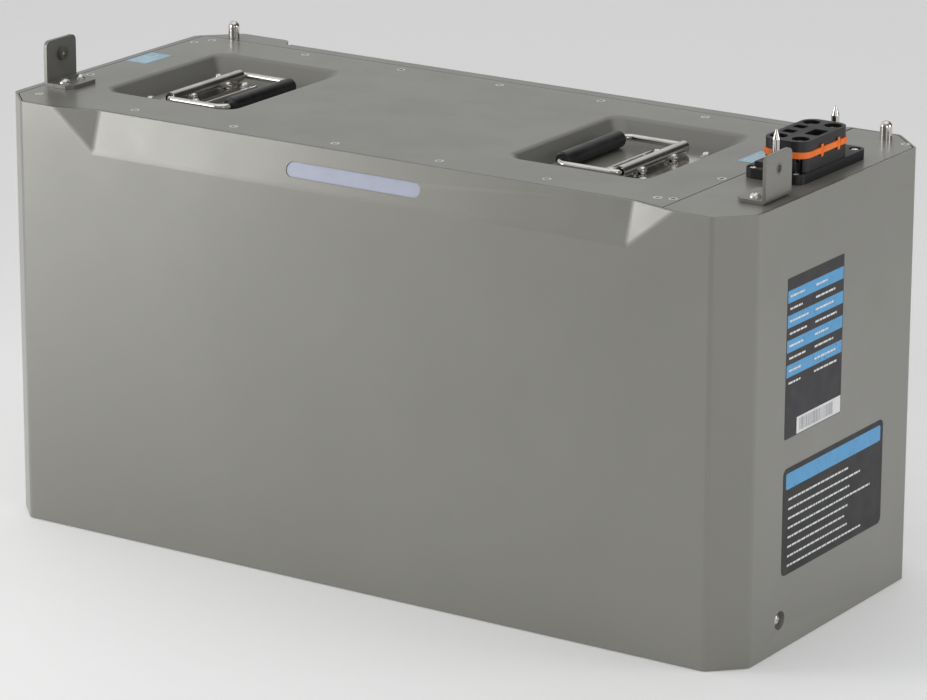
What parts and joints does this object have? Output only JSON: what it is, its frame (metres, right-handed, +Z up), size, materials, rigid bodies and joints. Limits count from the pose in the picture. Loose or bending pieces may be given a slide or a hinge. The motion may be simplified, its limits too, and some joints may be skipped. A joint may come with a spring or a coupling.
{
  "type": "stackable battery box",
  "caption": "Sheet-metal battery box with bevelled corners, sunken folding handles, a sealed top connector, guide pins, brackets and a status light.",
  "frame": {"origin": "middle of the underside", "axes": "+X to the right along the long front, +Y to the back, +Z up"},
  "size_m": [0.6502, 0.28, 0.3695],
  "materials": {
    "case_paint": "warm grey satin powder coat",
    "screw_steel": "bright zinc plate",
    "handle_steel": "polished stainless steel",
    "grip_rubber": "smooth black",
    "gasket_rubber": "matt black",
    "connector_plastic": "fine moulded texture",
    "seal_rubber": "orange silicone",
    "contact_brass": "plated",
    "light_lens": "frosted diffuser",
    "circuit_board": "green board",
    "label_dark": "printed film",
    "label_white": "printed paper",
    "label_blue": "printed film",
    "cell_film": "blue wrap",
    "insulator_plastic": "white",
    "plate_aluminium": "mill finish",
    "busbar_copper": "bare copper",
    "fuse_body": "white",
    "cable_red": "red sleeve",
    "cable_black": "black sleeve"
  },
  "bodies": {
    "case": {"case_shell": "case_paint", "rear_panel": "case_paint", "rear_panel_screws": "screw_steel", "base_plate": "case_paint", "base_screws": "screw_steel", "top_cover": "case_paint", "end_cover": "case_paint", "cover_gasket": "gasket_rubber", "cover_screws": "screw_steel", "earth_boss": "case_paint", "earth_screw": "screw_steel", "handle_base_left": "handle_steel", "handle_base_right": "handle_steel", "handle_screws_left": "screw_steel", "handle_screws_right": "screw_steel", "bracket_left": "case_paint", "bracket_right": "case_paint", "bracket_nut_left": "screw_steel", "bracket_nut_right": "screw_steel", "bracket_screws_left": "screw_steel", "bracket_screws_right": "screw_steel", "guide_pin_left": "handle_steel", "guide_pin_right": "handle_steel", "guide_pin_nuts": "screw_steel", "guide_socket_left": "screw_steel", "guide_socket_right": "screw_steel", "connector_pin_front": "handle_steel", "connector_pin_back": "handle_steel", "connector_housing": "connector_plastic", "connector_seal": "seal_rubber", "power_contacts": "contact_brass", "signal_contacts": "contact_brass", "connector_screws": "screw_steel", "base_connector": "connector_plastic", "base_contacts": "contact_brass", "light_window": "light_lens", "light_board": "circuit_board", "rating_label": "label_dark", "barcode_label": "label_white", "warning_label": "label_dark", "top_label_left": "label_blue", "top_label_right": "label_blue", "cell_row_front": "cell_film", "cell_row_back": "cell_film", "cell_spacers": "insulator_plastic", "end_plate_left": "plate_aluminium", "end_plate_right": "plate_aluminium", "base_pad": "gasket_rubber", "busbars": "busbar_copper", "cell_cover": "insulator_plastic", "bms_tray": "plate_aluminium", "bms_board": "circuit_board", "main_fuse": "fuse_body", "link_leads": "busbar_copper", "cable_positive": "cable_red", "cable_negative": "cable_black"},
    "bail_left": {"handle_bail_left": "handle_steel", "handle_grip_left": "grip_rubber"},
    "bail_right": {"handle_bail_right": "handle_steel", "handle_grip_right": "grip_rubber"}
  },
  "joints": [
    {"name": "left_handle", "type": "hinge", "parent": "case", "child": "bail_left", "pos_m": [-0.23175, 0, 0.3227], "axis": [0, -1, 0], "range_deg": [0, 90]},
    {"name": "right_handle", "type": "hinge", "parent": "case", "child": "bail_right", "pos_m": [0.16925, 0, 0.3227], "axis": [0, 1, 0], "range_deg": [0, 90]}
  ]
}
